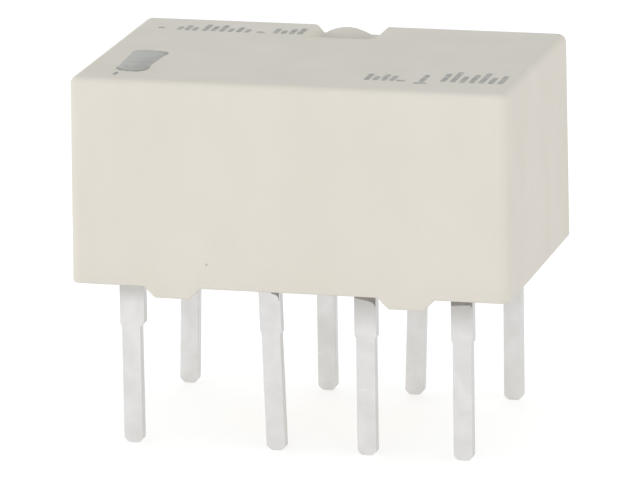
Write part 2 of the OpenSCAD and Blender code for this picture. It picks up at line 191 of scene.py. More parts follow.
class Board:
    """The node board of one material, with short calls for the nodes that the finishes share.

    The two ranges are the parts of a cloudy pattern that colours and roughness run through.
    """

    color_range: Point2 = (0.35, 0.65)
    sheen_range: Point2 = (0.3, 0.7)

    def __init__(self, name: str) -> None:
        """Start a material with its shader and a place for patterns in millimetres.

        Args:
            name: Name of the material.
        """
        self.material = bpy.data.materials.new(name)
        self.material.use_nodes = True
        self.tree = self.material.node_tree
        self.shader = self.tree.nodes["Principled BSDF"]
        self.source = make(self.tree, "TexCoord", {}).outputs

    def set(self, **values: float) -> None:
        """Set plain values on the shader's sockets, by socket name with underscores for spaces."""
        for name, value in values.items():
            self.shader.inputs[name.replace("_", " ")].default_value = value

    def link(self, out: Socket, name: str) -> None:
        """Feed a socket of the shader."""
        self.tree.links.new(out, self.shader.inputs[name])

    def place(self, repeats: Point3 = (1.0, 1.0, 1.0), shift: float = 0.0) -> Socket:
        """Coordinates in millimetres.

        Args:
            repeats: How often a pattern repeats in a millimetre along each axis.
            shift: Offset that gives each pattern its own place.

        Returns:
            The socket with the coordinates.
        """
        scale = [value / MM for value in repeats]
        inputs = {"Scale": scale, "Location": (shift, shift, shift), "Vector": self.source["Object"]}
        return make(self.tree, "Mapping", inputs).outputs["Vector"]

    def noise(self, clouds: Clouds) -> Socket:
        """Cloudy pattern.

        Args:
            clouds: What it is like.

        Returns:
            The socket with values round 0.5.
        """
        place = self.place(tuple(value / clouds.grain for value in clouds.stretch), clouds.shift)
        inputs = {"Scale": 1.0, "Detail": clouds.detail, "Distortion": clouds.twist, "Vector": place}
        return make(self.tree, "TexNoise", inputs).outputs["Fac"]

    def dots(self, dots: Dots) -> Socket:
        """Scattered dots.

        Args:
            dots: What they are like.

        Returns:
            The socket with the share of their colour.
        """
        place = self.place((1 / dots.apart,) * 3, dots.shift)
        away = make(self.tree, "TexVoronoi", {"Scale": 1.0, "Vector": place}).outputs["Distance"]
        return self.spread(away, (dots.outer, dots.inner), (0.0, dots.strength))

    def spot(self, fleck: Fleck) -> Socket:
        """One fleck.

        Args:
            fleck: What it is like.

        Returns:
            The socket with the share of its colour.
        """
        inputs = {0: self.place(), 1: fleck.place}
        away = make(self.tree, "VectorMath", inputs, operation="DISTANCE").outputs["Value"]
        return self.spread(away, (fleck.outer, fleck.inner), (0.0, fleck.strength))

    def height(self) -> Socket:
        """Level above the board plane, in millimetres."""
        return make(self.tree, "SeparateXYZ", {"Vector": self.place()}).outputs["Z"]

    def facing_x(self) -> Socket:
        """How far the surface faces along the case, from 0 to 1."""
        along = make(self.tree, "SeparateXYZ", {"Vector": self.source["Normal"]}).outputs["X"]
        return make(self.tree, "Math", {0: along}, operation="ABSOLUTE").outputs[0]

    def spread(self, value: Socket, source: Point2, target: Point2 = FULL) -> Socket:
        """Map a range of values to another, and hold it there.

        Args:
            value: Socket with the values.
            source: Range that is read.
            target: Range that comes out.

        Returns:
            The socket with the new values.
        """
        inputs = {"Value": value, "From Min": source[0], "From Max": source[1], "To Min": target[0],
                  "To Max": target[1]}
        return make(self.tree, "MapRange", inputs).outputs["Result"]

    def colors(self, value: Socket, low: Color | Socket, high: Color) -> Socket:
        """Mix two colours.

        Args:
            value: Socket with the share of the second colour.
            low: First colour, or a socket with it.
            high: Second colour.

        Returns:
            The socket with the mixed colour.
        """
        first = low if isinstance(low, Socket) else (*low, 1)
        inputs = {"Factor": value, "A": first, "B": (*high, 1)}
        return make(self.tree, "Mix", inputs, data_type="RGBA").outputs["Result"]

    def clouded(self, clouds: Socket, color: Color, cloud_color: Color) -> Socket:
        """Two colours that lie over each other in clouds."""
        return self.colors(self.spread(clouds, self.color_range), color, cloud_color)

    def sheen(self, clouds: Socket, roughness: Point2) -> None:
        """Let the roughness vary with a cloudy pattern."""
        self.link(self.spread(clouds, self.sheen_range, roughness), "Roughness")

    def relief(self, *layers: tuple[Socket, float]) -> None:
        """Raise the surface by patterns.

        Args:
            layers: Pairs of a height pattern and its height in millimetres.
        """
        below: dict[str, Socket] = {}
        for height, depth in layers:
            bump = make(self.tree, "Bump", {"Distance": depth * MM, "Height": height, **below})
            below = {"Normal": bump.outputs["Normal"]}
        self.link(below["Normal"], "Normal")


@dataclass(frozen=True)
class MouldedFinish:
    """Moulded plastic with a fine spark-eroded grain, a faint flow pattern and a few specks."""

    name: str
    color: Color
    flow_color: Color
    speck_color: Color
    roughness: Point2 = (0.52, 0.59)
    specks: Dots = Dots(0.9, 7.7, 0.028, 0.0196, 0.55)
    fleck: Fleck | None = None
    flow: Clouds = Clouds(1.4, 3.0, 3.1, 0.4, (1.0, 1.0, 0.6))
    grain: Clouds = Clouds(0.035, 3.0, 1.7)
    wave: Clouds = Clouds(0.6, 1.0, 9.2)
    relief_depth: float = 0.0012

    def paint(self, board: Board) -> None:
        """Lay out the material.

        Args:
            board: Board of the material.
        """
        flow = board.noise(self.flow)
        body = board.clouded(flow, self.color, self.flow_color)
        body = board.colors(board.dots(self.specks), body, self.speck_color)
        if self.fleck:
            body = board.colors(board.spot(self.fleck), body, self.speck_color)
        board.link(body, "Base Color")
        board.sheen(flow, self.roughness)
        board.relief(*((board.noise(clouds), self.relief_depth) for clouds in (self.grain, self.wave)))


@dataclass(frozen=True)
class InkFinish:
    """Pad-printed ink that covers the grain unevenly and lets the moulding show through in places."""

    name: str
    color: Color
    thin_color: Color
    thin: Point2 = (0.35, 0.62)
    film: Clouds = Clouds(0.16, 4.0, 5.3)
    grain: Clouds = Clouds(0.035, 2.0, 1.7)
    grain_depth: float = 0.001
    roughness: float = 0.5

    def paint(self, board: Board) -> None:
        """Lay out the material.

        Args:
            board: Board of the material.
        """
        bare = board.spread(board.noise(self.film), self.thin, (1.0, 0.0))
        board.link(board.colors(bare, self.color, self.thin_color), "Base Color")
        board.set(Roughness=self.roughness)
        board.relief((board.noise(self.grain), self.grain_depth))


@dataclass(frozen=True)
class MetalFinish:
    """Metal with soft clouds of plating and fine streaks, drawn out by a factor on each axis."""

    name: str
    color: Color
    cloud_color: Color
    drawn: Point3
    roughness: Point2
    wave_depth: float = 0.004
    clouds: Clouds = Clouds(0.5, 3.0, 2.6, 0.6)
    streaks: Clouds = Clouds(0.03, 2.0, 4.4)
    streak_depth: float = 0.0008
    wave: Clouds = Clouds(0.35, 1.0, 6.5)

    def paint(self, board: Board) -> None:
        """Lay out the material.

        Args:
            board: Board of the material.
        """
        clouds = board.noise(self.clouds)
        streaks = board.noise(replace(self.streaks, stretch=self.drawn))
        board.link(board.clouded(clouds, self.color, self.cloud_color), "Base Color")
        board.set(Metallic=1.0)
        board.sheen(clouds, self.roughness)
        board.relief((streaks, self.streak_depth), (board.noise(self.wave), self.wave_depth))


@dataclass(frozen=True)
class ResinFinish:
    """Poured resin: pale, glossy, slightly wavy, with small bubbles under its skin."""

    name: str = "sealing resin"
    color: Color = srgb(206, 198, 180)
    bubble_color: Color = srgb(176, 166, 146)
    bubbles: Dots = Dots(0.34, 2.2, 0.13, 0.06)
    bubble_depth: float = 0.004
    film: Clouds = Clouds(0.8, 2.0, 3.3)
    roughness: Point2 = (0.12, 0.3)
    wave: Clouds = Clouds(1.1, 1.0, 5.9)
    wave_depth: float = 0.02

    def paint(self, board: Board) -> None:
        """Lay out the material.

        Args:
            board: Board of the material.
        """
        bubbles = board.dots(self.bubbles)
        board.link(board.colors(bubbles, self.color, self.bubble_color), "Base Color")
        board.sheen(board.noise(self.film), self.roughness)
        board.relief((board.noise(self.wave), self.wave_depth), (bubbles, self.bubble_depth))


@dataclass(frozen=True)
class EnamelFinish:
    """Enamelled copper wire: copper under a clear coat."""

    name: str = "enamelled copper wire"
    color: Color = (0.60, 0.21, 0.075)
    shade_color: Color = (0.42, 0.12, 0.04)
    metal: float = 0.85
    coat: float = 0.8
    coat_roughness: float = 0.12
    clouds: Clouds = Clouds(0.5, 2.0, 1.1)
    roughness: Point2 = (0.3, 0.4)
    grain: Clouds = Clouds(0.05, 2.0, 7.2)
    grain_depth: float = 0.0008

    def paint(self, board: Board) -> None:
        """Lay out the material.

        Args:
            board: Board of the material.
        """
        clouds = board.noise(self.clouds)
        board.link(board.clouded(clouds, self.color, self.shade_color), "Base Color")
        board.set(Metallic=self.metal, Coat_Weight=self.coat, Coat_Roughness=self.coat_roughness)
        board.sheen(clouds, self.roughness)
        board.relief((board.noise(self.grain), self.grain_depth))


@dataclass(frozen=True)
class TinFinish:
    """Satin tin plate on stamped blades: soft clouds, painted shade on the faces that face along the case, and
    a rare bright scuff.

    Near the case some blades get painted shade, which darkens them towards the case.
    """

    name: str = "tin plate"
    # Painted shade under the case: how far down from the board plane it reaches, and its colour.
    painted_shade_reach: float = 0.0
    painted_shade_color: Color = srgb(188, 186, 182)
    color: Color = srgb(224, 222, 221)
    cloud_color: Color = srgb(217, 215, 213)
    # Painted shade on the faces that face along the case.
    side_shade_color: Color = srgb(208, 206, 204)
    scuff_color: Color = srgb(246, 245, 243)
    metal: float = 0.92
    roughness: Point2 = (0.3, 0.4)
    clouds: Clouds = Clouds(0.6, 2.0, 2.6, 0.6)
    scuffs: Clouds = Clouds(0.2, 1.0, 8.8, 0.3, (0.35, 0.35, 2.4))
    scuffed: Point2 = (0.76, 0.82)
    # How far a face must face along the case to take the painted shade.
    side_shade_range: Point2 = (0.5, 0.8)
    wave: Clouds = Clouds(0.5, 1.0, 6.5)
    wave_depth: float = 0.008

    def paint(self, board: Board) -> None:
        """Lay out the material.

        Args:
            board: Board of the material.
        """
        clouds = board.noise(self.clouds)
        body = board.clouded(clouds, self.color, self.cloud_color)
        body = board.colors(board.spread(board.noise(self.scuffs), self.scuffed), body, self.scuff_color)
        # Painted shade: the blade darkens towards the case, which shades it.
        if self.painted_shade_reach:
            body = board.colors(board.spread(board.height(), (-self.painted_shade_reach, 0.0)), body, self.painted_shade_color)
        # Painted shade on the side faces that face along the case.
        body = board.colors(board.spread(board.facing_x(), self.side_shade_range), body, self.side_shade_color)
        board.link(body, "Base Color")
        board.set(Metallic=self.metal)
        board.sheen(clouds, self.roughness)
        board.relief((board.noise(self.wave), self.wave_depth))


class Finish(Enum):
    """The finishes of the relay, one for each kind of surface."""

    CASE = MouldedFinish("ivory case plastic", srgb(228, 222, 211), srgb(226, 220, 208), srgb(176, 170, 156),
                         specks=Dots(0.9, 7.7, 0.016, 0.0112, 0.55), fleck=Fleck((-1.86, -3.25, 0.82)))
    BASE = MouldedFinish("black base plastic", srgb(40, 42, 45), srgb(52, 54, 57), srgb(70, 72, 74),
                         (0.47, 0.54))
    BOBBIN = MouldedFinish("dark bobbin plastic", srgb(54, 58, 68), srgb(64, 68, 78), srgb(40, 42, 50),
                           (0.42, 0.49))
    CARRIER = MouldedFinish("natural carrier plastic", srgb(222, 217, 202), srgb(214, 208, 192),
                            srgb(170, 160, 140), (0.39, 0.46))
    MARK = InkFinish("grey mark ink", srgb(175, 174, 169), srgb(185, 184, 178))
    MARK_EDGE = InkFinish("dense mark ink", srgb(152, 153, 147), srgb(170, 170, 163))
    # Painted shadow, for the film under the case on three front terminals.
    SHADOW_PAINT = InkFinish("painted shadow on terminals", srgb(128, 124, 119), srgb(150, 146, 141), (0.4, 0.7))
    PRINT = InkFinish("grey print ink", srgb(154, 153, 148), srgb(182, 180, 173), (0.36, 0.6))
    TIN = TinFinish()
    # Tin for front terminals, with painted shade under the case where the case shades them.
    TIN_PAINTED_SHADE = TinFinish("tin plate, painted shade under the case", 0.68)
    TIN_LIGHT_PAINTED_SHADE = TinFinish("tin plate, a little painted shade under the case", 0.3, srgb(197, 194, 190))
    SILVER = MetalFinish("silver contact alloy", srgb(236, 233, 226), srgb(220, 216, 206), (0.1, 1.0, 1.0),
                         (0.16, 0.26), 0.002)
    IRON = MetalFinish("annealed iron", srgb(176, 178, 184), srgb(168, 170, 177), (0.06, 1.0, 1.0),
                       (0.3, 0.42))
    MAGNET = MetalFinish("sintered magnet", srgb(96, 97, 102), srgb(78, 79, 84), (1.0, 0.1, 1.0), (0.4, 0.55))
    SPRING = MetalFinish("rolled spring alloy", srgb(212, 170, 112), srgb(206, 164, 106), (0.04, 1.0, 1.0),
                         (0.2, 0.3), 0.002)
    RESIN = ResinFinish()
    WIRE = EnamelFinish()

    def material(self) -> bpy.types.Material:
        """The material of this finish, built on first use.

        Returns:
            The material.
        """
        found = bpy.data.materials.get(self.value.name)
        if not found:
            board = Board(self.value.name)
            self.value.paint(board)
            found = board.material
        return found


class Mesh:
    """A mesh in millimetres that becomes a piece of the relay.

    A wire's end is drawn in by the share wire_end of its radius, and stands out as far.
    """

    wire_end: float = 0.5

    def __init__(self) -> None:
        """Start with no faces."""
        self.bm = bmesh.new()

    def points(self, places: Iterable[Sequence[float]]) -> list[Vertex]:
        """Add vertices."""
        return [self.bm.verts.new(Vector(place) * MM) for place in places]

    def cap(self, ring: list[Vertex]) -> None:
        """Close a ring with one face."""
        self.bm.faces.new(ring)

    def bridge(self, first: list[Vertex], second: list[Vertex]) -> None:
        """Join two closed rings of vertices with quads.

        Args:
            first: One ring.
            second: The other ring, as long as the first.
        """
        for i in range(len(first)):
            k = (i + 1) % len(first)
            self.bm.faces.new((first[i], first[k], second[k], second[i]))

    def loft(self, rings: Sequence[Sequence[Sequence[float]]]) -> list[list[Vertex]]:
        """Skin a row of closed rings.

        Args:
            rings: Rings of points, all of one length.

        Returns:
            The vertices of each ring.
        """
        rows = [self.points(ring) for ring in rings]
        for first, second in zip(rows, rows[1:]):
            self.bridge(first, second)
        return rows

    def solid(self, rings: Sequence[Sequence[Sequence[float]]]) -> None:
        """Skin a row of closed rings and close both ends.

        Args:
            rings: Rings of points, all of one length.
        """
        rows = self.loft(rings)
        self.cap(rows[0][::-1])
        self.cap(rows[-1])

    def tube(self, route: Sequence[Vector], radius: float, sides: int) -> None:
        """Sweep a round wire along a route, with rounded ends.

        Args:
            route: Points of the wire's middle line.
            radius: Radius of the wire.
            sides: Number of sides.
        """
        rings: list[list[Vector]] = []
        side = Vector((0, 0, 1))
        last = len(route) - 1
        for i, point in enumerate(route):
            along = (route[min(i + 1, last)] - route[max(i - 1, 0)]).normalized()
            side = (side - along * side.dot(along)).normalized()
            other = along.cross(side)
            ring = [point + (side * math.cos(t) + other * math.sin(t)) * radius for t in full_turn(sides)]
            tip = along * radius * self.wire_end
            if i == 0:
                rings.append([point.lerp(p, self.wire_end) - tip for p in ring])
            rings.append(ring)
            if i == last:
                rings.append([point.lerp(p, self.wire_end) + tip for p in ring])
        self.solid(rings)

    def data(self, name: str) -> bpy.types.Mesh:
        """Hand over the finished mesh.

        Args:
            name: Name of the mesh.

        Returns:
            The mesh's data.
        """
        made = bpy.data.meshes.new(name)
        self.bm.to_mesh(made)
        self.bm.free()
        return made

    def piece(self, name: str, finish: Finish, slot: str, instead_of: str | None = None,
              smooth: bool = True) -> None:
        """Turn the mesh into a piece that rides on the housing.

        Args:
            name: Name of the piece.
            finish: Its finish.
            slot: The record's material slot; not used.
            instead_of: CAD node that it stands for, if any.
            smooth: Whether its faces are shaded as one curved surface.
        """
        bmesh.ops.recalc_face_normals(self.bm, faces=self.bm.faces)
        data = self.data(name)
        if smooth:
            data.shade_smooth()
        data.materials.append(finish.material())
        made = bpy.data.objects.new(name, data)
        show(made)
        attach(made, HOUSING)
        if instead_of:
            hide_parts(instead_of)
        LOG.info("%s: %d faces on %s", name, len(data.polygons), HOUSING)


@dataclass(frozen=True)
class Spacing:
    """Spacing of a mesh's columns: how far round a feature it is fine, the fine and the coarse step."""

    reach: float
    fine: float
    coarse: float


@dataclass
class CaseShell:
    """The moulded case: drafted walls, rounded edges, four feet, and the pocket with its nub in the roof."""

    half_x: float = PLAN.half_x
    half_y: float = PLAN.half_y
    top: float = PLAN.top
    wall: float = PLAN.wall
    roof: float = 0.35
    draft: float = 0.5
    corner: float = 0.22
    edge: float = 0.18
    rim: float = 0.03
    inner_corner: float = 0.15
    foot_height: float = 0.25
    foot_length: float = 1.3
    foot_place: float = 2.67
    foot_corner: float = 0.1
    foot_slope: float = 45.0
    pocket_length: float = 1.68
    pocket_place: float = -0.05
    pocket_flare: float = 0.16
    pocket_reach: float = 1.5
    pocket_depth: float = 0.21
    pocket_round: float = 0.07
    nub_radius: float = 0.55
    nub_height: float = 0.18
    nub_inset: float = 0.3
    nub_place: float = -0.15
    keep: float = 3.6
    along: Spacing = Spacing(0.16, 0.024, 0.16)
    across: Spacing = Spacing(0.3, 0.03, 0.14)
    corner_steps: int = 5
    rim_steps: int = 3
    wall_steps: int = 8
    edge_steps: int = 6

    def lean(self) -> float:
        """How far the walls lean in at the roof's edge."""
        return (self.top - self.foot_height - self.edge) * math.tan(math.radians(self.draft))

    @staticmethod
    def stations(features: Sequence[float], limit: float, spacing: Spacing) -> list[float]:
        """Places of the columns along a straight stretch, closer together near features.

        Args:
            features: Places of edges that need fine columns.
            limit: End of the stretch on each side of the middle.
            spacing: Distances of the columns.

        Returns:
            The places, from one end to the other.
        """
        places = [-limit]
        while places[-1] < limit:
            here = places[-1]
            near = min(abs(here - feature) for feature in features)
            wider = min(spacing.coarse, max(spacing.fine, near - spacing.reach))
            places.append(here + (spacing.fine if near < spacing.reach else wider))
        return [*places[:-1], limit]

    def columns_along(self) -> list[float]:
        """Places of the columns in the long walls, fine at the feet and the pocket.

        Returns:
            The places along the case.
        """
        half = self.foot_length / 2
        ends = (-1, 1)
        foot_edges = [s * self.foot_place + e * half for s in ends for e in ends]
        foot_tips = [s * self.foot_place + e * (half - self.foot_height) for s in ends for e in ends]
        pocket_half = self.pocket_length / 2 - self.pocket_flare / 2
        pocket_edges = [self.pocket_place - pocket_half, self.pocket_place + pocket_half]
        return self.stations(foot_edges + foot_tips + pocket_edges, self.half_x - self.corner, self.along)

    def columns_across(self) -> list[float]:
        """Places of the columns in the short walls, fine at the pocket's end and the nub."""
        features = [self.half_y - self.pocket_reach, self.half_y - self.nub_inset]
        return self.stations(features, self.half_y - self.corner, self.across)

    def foot_bottom(self, x: float) -> float:
        """Level of a long wall's lower edge, with its feet.

        Their flanks run as far as they rise, so foot_slope has to stay 45 degrees.

        Args:
            x: Place along the case.

        Returns:
            The level.
        """
        away = abs(abs(x) - self.foot_place)
        tangent = self.foot_corner * math.tan(math.radians(self.foot_slope / 2))
        flat = self.foot_length / 2 - self.foot_height - tangent
        if away <= flat:
            return 0.0
        if away <= flat + self.foot_corner * math.sin(math.radians(self.foot_slope)):
            return self.foot_corner - math.sqrt(self.foot_corner ** 2 - (away - flat) ** 2)
        return self.foot_height - max(0.0, self.foot_length / 2 - away)

    def soft_clamp(self, value: float, high: float) -> float:
        """Hold a value between 0 and a limit, with rounded turns at both ends.

        Args:
            value: The value.
            high: The upper limit.

        Returns:
            The value between the limits.
        """
        r = self.pocket_round
        low = 0.5 * (value + math.sqrt(value * value + r * r / 4))
        return 0.5 * (low + high - math.sqrt((low - high) ** 2 + r * r / 8))

    def pocket(self, x: float, y: float) -> float:
        """Depth of the pocket in the roof.

        Args:
            x: Place along the case.
            y: Place across the case.

        Returns:
            The depth, 0 outside the pocket.
        """
        slope = self.pocket_depth / self.pocket_flare
        inside = self.pocket_length / 2 - abs(x - self.pocket_place)
        start = self.half_y - self.pocket_reach
        inwards = min(1.0, max(0.0, (y - start + self.pocket_round / 2) / self.pocket_round))
        return self.soft_clamp(inside * slope, self.pocket_depth) * inwards * inwards * (3 - 2 * inwards)

    def roof_height(self, x: float, y: float) -> float:
        """Level of the roof, with the pocket and the nub.

        Args:
            x: Place along the case.
            y: Place across the case.

        Returns:
            The level.
        """
        depth = self.pocket(x, y)
        away = math.hypot(x - self.nub_place, y - (self.half_y - self.nub_inset))
        if away >= self.nub_radius + self.pocket_round:
            return self.top - depth
        ball = (self.nub_radius ** 2 + self.nub_height ** 2) / (2 * self.nub_height)
        nub = self.nub_height - ball + math.sqrt(ball * ball - away * away) - self.pocket_depth
        gap = nub + depth
        soft = self.pocket_round / 3
        return self.top - depth + 0.5 * (gap + math.sqrt(gap * gap + soft * soft)) - soft * soft / 4

    def edge_level(self, x: float, y: float, turn: float) -> float:
        """Level of the rounded edge round the roof, which the pocket cuts through.

        Args:
            x: Place along the case.
            y: Place across the case.
            turn: How far round the edge, from 0 at the wall to 1 at the roof.

        Returns:
            The level.
        """
        return min(self.top - self.edge * (1 - turn), self.roof_height(x, y) - self.rim * (1 - turn))

    def squeeze(self, place: float, limit: float, widest: float) -> float:
        """Move a column in with the corner, and leave those near the features where they are.

        Args:
            place: Place of the column.
            limit: Where the outermost column goes.
            widest: Place of the outermost column.

        Returns:
            The new place.
        """
        if abs(place) <= self.keep:
            return place
        part = (abs(place) - self.keep) / (widest - self.keep)
        return math.copysign(self.keep + part * (limit - self.keep), place)

    def outline(self, inset: float, r: float) -> list[list[Point2]]:
        """The case's four sides at one level, each from the middle of one corner to the next.

        Args:
            inset: How far the outline lies inside the walls' foot.
            r: Radius of its corners.

        Returns:
            Front, right, rear and left side, in one direction round.
        """
        xs = self.columns_along()
        ys = self.columns_across()
        half_x = self.half_x - inset
        half_y = self.half_y - inset
        cx = half_x - r
        cy = half_y - r
        turns = [math.radians(angle) for angle in span(0, 45, self.corner_steps)[1:]]
        away = [(r * math.sin(t), r * (1 - math.cos(t))) for t in turns]
        front = [(-cx - a, b - half_y) for a, b in reversed(away)]
        front += [(self.squeeze(x, cx, xs[-1]), -half_y) for x in xs]
        front += [(cx + a, b - half_y) for a, b in away]
        right = [(half_x - b, -cy - a) for a, b in reversed(away)]
        right += [(half_x, y * cy / ys[-1]) for y in ys]
        right += [(half_x - b, cy + a) for a, b in away]
        rear = [(x, -y) for x, y in reversed(front)]
        left = [(-x, y) for x, y in reversed(right)]
        return [front, right, rear, left]

    @staticmethod
    def ring(sides: Sequence[Sequence[Point2]]) -> list[Point2]:
        """One closed ring from the four sides."""
        return [point for side in sides for point in side[:-1]]

    @staticmethod
    def between(first: Sequence[Point2], second: Sequence[Point2], share: float) -> list[Point2]:
        """Points that lie a share of the way from one ring to another."""
        return [(x + (u - x) * share, y + (v - y) * share) for (x, y), (u, v) in zip(first, second)]

    def rim_rings(self, inner: Sequence[Point2], outer: Sequence[Point2]) -> list[list[Point3]]:
        """The rounded lower rim, from the walls' inside to their outside.

        Args:
            inner: Ring on the walls' inside.
            outer: Ring on the walls' outside.

        Returns:
            The rings.
        """
        step = self.rim / self.wall
        turns = quarter_turn(self.rim_steps)
        places = [(step * (1 - math.cos(t)), self.rim * (1 - math.sin(t))) for t in turns]
        places += [(1 - step * (1 - math.sin(t)), self.rim * (1 - math.cos(t))) for t in turns]
        with_feet = [abs(y) > self.half_y - self.corner for _, y in outer]
        return [[(x, y, (self.foot_bottom(x) if feet else self.foot_height) + rise)
                 for (x, y), feet in zip(self.between(inner, outer, share), with_feet)]
                for share, rise in places]

    def wall_rings(self, foot: Sequence[Point3]) -> list[list[Point3]]:
        """The drafted outside of the walls.

        Args:
            foot: The ring that they start from.

        Returns:
            The rings above it, up to the roof's rounded edge.
        """
        rings = []
        for share in span(0, 1, self.wall_steps)[1:]:
            ring = self.ring(self.outline(self.lean() * share, self.corner))
            rings.append([(x, y, low + (self.edge_level(x, y, 0.0) - low) * share)
                          for (x, y), (_, _, low) in zip(ring, foot)])
        return rings

    def edge_rings(self, roof: Sequence[Point2]) -> list[list[Point3]]:
        """The rounded edge between the walls and the roof.

        Args:
            roof: Ring round the flat of the roof.

        Returns:
            The rings above the walls.
        """
        walls = self.ring(self.outline(self.lean(), self.corner))
        return [[(x, y, self.edge_level(x, y, math.sin(t)))
                 for x, y in self.between(walls, roof, 1 - math.cos(t))]
                for t in quarter_turn(self.edge_steps)[1:]]

    @staticmethod
    def sheet(mesh: Mesh, ring: list[Vertex], sides: list[list[Point2]],
              height: Callable[[float, float], float]) -> None:
        """Fill a ring with a grid of quads that meets it vertex by vertex.

        Args:
            mesh: Mesh that gets the grid.
            ring: Vertices of the ring.
            sides: The four sides that the ring was made from.
            height: Level of the sheet at a place.
        """
        front, right, rear, left = sides
        rear = rear[::-1]
        left = left[::-1]
        nx = len(front) - 1
        ny = len(right) - 1
        grid = {}
        for i in range(nx):
            grid[(i, 0)] = ring[i]
            grid[(nx - i, ny)] = ring[nx + ny + i]
        for j in range(ny):
            grid[(nx, j)] = ring[nx + j]
            grid[(0, ny - j)] = ring[2 * nx + ny + j]

        def vertex(i: int, j: int) -> Vertex:
            """Vertex of the grid, made on first use from the sides that it lies between.

            Args:
                i: Its column.
                j: Its row.

            Returns:
                The vertex.
            """
            if (i, j) in grid:
                return grid[(i, j)]
            u = i / nx
            v = j / ny
            place = []
            for k in (0, 1):
                edges = (1 - v) * front[i][k] + v * rear[i][k] + (1 - u) * left[j][k] + u * right[j][k]
                corners = ((1 - u) * (1 - v) * front[0][k] + u * (1 - v) * front[-1][k]
                           + (1 - u) * v * rear[0][k] + u * v * rear[-1][k])
                place.append(edges - corners)
            grid[(i, j)] = mesh.points([(*place, height(*place))])[0]
            return grid[(i, j)]

        for i in range(nx):
            for j in range(ny):
                mesh.bm.faces.new((vertex(i, j), vertex(i + 1, j), vertex(i + 1, j + 1), vertex(i, j + 1)))

    def build(self) -> None:
        """Build the case as one closed mesh: inside, rim, walls and rounded edge, then ceiling and roof."""
        ceiling = self.top - self.roof
        inner_sides = self.outline(self.wall, self.inner_corner)
        roof_sides = self.outline(self.lean() + self.edge, self.corner - self.edge)
        inner = self.ring(inner_sides)
        levels = [[(x, y, ceiling) for x, y in inner]]
        levels += self.rim_rings(inner, self.ring(self.outline(0.0, self.corner)))
        levels += self.wall_rings(levels[-1])
        levels += self.edge_rings(self.ring(roof_sides))
        mesh = Mesh()
        rows = mesh.loft(levels)
        self.sheet(mesh, rows[-1], roof_sides, self.roof_height)
        self.sheet(mesh, rows[0], inner_sides, lambda x, y: ceiling)
        mesh.piece("case_shell", Finish.CASE, "case_plastic", instead_of="case_cover")


@dataclass(frozen=True)
class Bar:
    """One printed bar with round ends: its middle and its size along and across the case."""

    x: float
    y: float
    width: float
    height: float


@dataclass(frozen=True)
class Strokes:
    """A row of upright strokes that stand on one line: the first one's foot, their distance and heights."""

    x: float
    y: float
    gap: float
    heights: tuple[float, ...]
    width: float = 0.12

    def bars(self) -> list[Bar]:
        """The strokes, one by one."""
        return [Bar(self.x + self.gap * i, self.y + height / 2, self.width, height)
                for i, height in enumerate(self.heights)]


